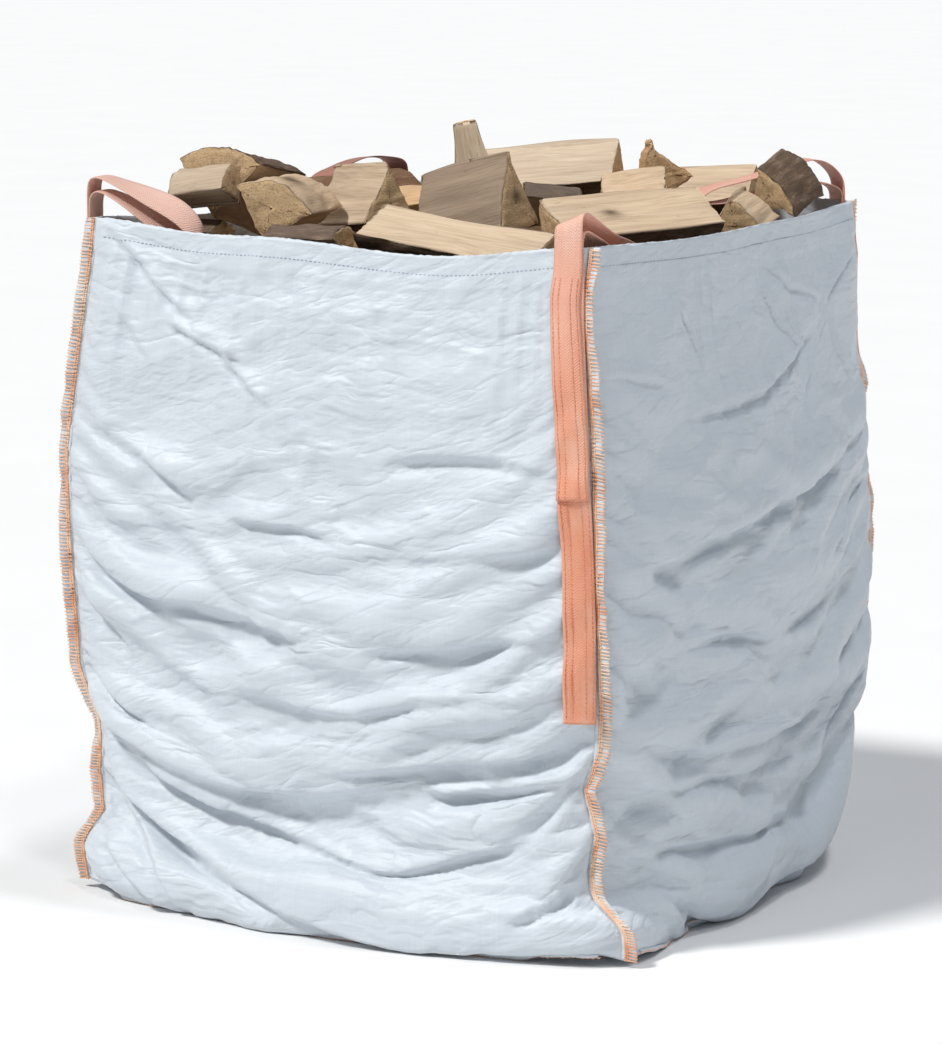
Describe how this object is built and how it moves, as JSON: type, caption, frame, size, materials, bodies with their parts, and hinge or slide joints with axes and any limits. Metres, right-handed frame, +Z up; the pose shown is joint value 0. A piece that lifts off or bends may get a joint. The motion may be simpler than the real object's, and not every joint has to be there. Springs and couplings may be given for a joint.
{
  "type": "bulk bag",
  "caption": "Open-topped woven bulk bag with sewn corner seams and webbing lift loops at its corners, standing full of split firewood",
  "frame": {"origin": "on the floor under the middle of the bag", "axes": "+Z up; the front panel faces -Y and the right panel faces +X"},
  "size_m": [1.068, 1.068, 1.2343],
  "materials": {
    "woven_cloth": "pale blue-white woven polypropylene tape cloth with a slight sheen",
    "webbing": "orange twill-woven polypropylene webbing, faded pink in places",
    "seam_thread": "pale orange overlock thread over the cloth's raw edges",
    "hem_thread": "grey-blue chain stitch",
    "split_wood": "dry split hardwood, with bark on the round side and rough end grain"
  },
  "bodies": {
    "bag": {"base_panel": "woven_cloth", "base_seam_strips": "seam_thread", "corner_seam_back_left": "seam_thread", "corner_seam_back_right": "seam_thread", "corner_seam_front_left": "seam_thread", "corner_seam_front_right": "seam_thread", "firewood_layer_1": "split_wood", "firewood_layer_2": "split_wood", "firewood_layer_3": "split_wood", "firewood_layer_4": "split_wood", "firewood_layer_5": "split_wood", "firewood_layer_6": "split_wood", "firewood_log_01": "split_wood", "firewood_log_02": "split_wood", "firewood_log_03": "split_wood", "firewood_log_04": "split_wood", "firewood_log_05": "split_wood", "firewood_log_06": "split_wood", "firewood_log_07": "split_wood", "firewood_log_08": "split_wood", "firewood_log_09": "split_wood", "firewood_log_10": "split_wood", "firewood_log_11": "split_wood", "firewood_log_12": "split_wood", "firewood_log_13": "split_wood", "firewood_log_14": "split_wood", "firewood_log_15": "split_wood", "firewood_log_16": "split_wood", "firewood_log_17": "split_wood", "firewood_log_18": "split_wood", "firewood_log_19": "split_wood", "firewood_log_20": "split_wood", "firewood_log_21": "split_wood", "firewood_log_22": "split_wood", "firewood_log_23": "split_wood", "firewood_log_24": "split_wood", "firewood_log_25": "split_wood", "hem_stitching": "hem_thread", "side_panel_back": "woven_cloth", "side_panel_front": "woven_cloth", "side_panel_left": "woven_cloth", "side_panel_right": "woven_cloth", "webbing_long_leg_back_left": "webbing", "webbing_long_leg_back_right": "webbing", "webbing_long_leg_front_left": "webbing", "webbing_long_leg_front_right": "webbing", "webbing_short_leg_back_left": "webbing", "webbing_short_leg_back_right": "webbing", "webbing_short_leg_front_left": "webbing", "webbing_short_leg_front_right": "webbing"},
    "loop_front_right": {"lift_loop_front_right": "webbing"},
    "loop_front_left": {"lift_loop_front_left": "webbing"},
    "loop_back_left": {"lift_loop_back_left": "webbing"},
    "loop_back_right": {"lift_loop_back_right": "webbing"}
  },
  "joints": [
    {"name": "front_right_loop_lift", "type": "hinge", "parent": "bag", "child": "loop_front_right", "pos_m": [0.424, -0.463, 1.09], "axis": [1, 0, 0], "range_deg": [0, 115]},
    {"name": "front_left_loop_lift", "type": "hinge", "parent": "bag", "child": "loop_front_left", "pos_m": [-0.463, -0.424, 1.09], "axis": [0.1045, -0.9945, 0], "range_deg": [0, 115]},
    {"name": "back_left_loop_lift", "type": "hinge", "parent": "bag", "child": "loop_back_left", "pos_m": [-0.424, 0.463, 1.09], "axis": [-1, 0, 0], "range_deg": [0, 115]},
    {"name": "back_right_loop_lift", "type": "hinge", "parent": "bag", "child": "loop_back_right", "pos_m": [0.424, 0.463, 1.09], "axis": [-0.788, 0.6157, 0], "range_deg": [0, 115]}
  ]
}
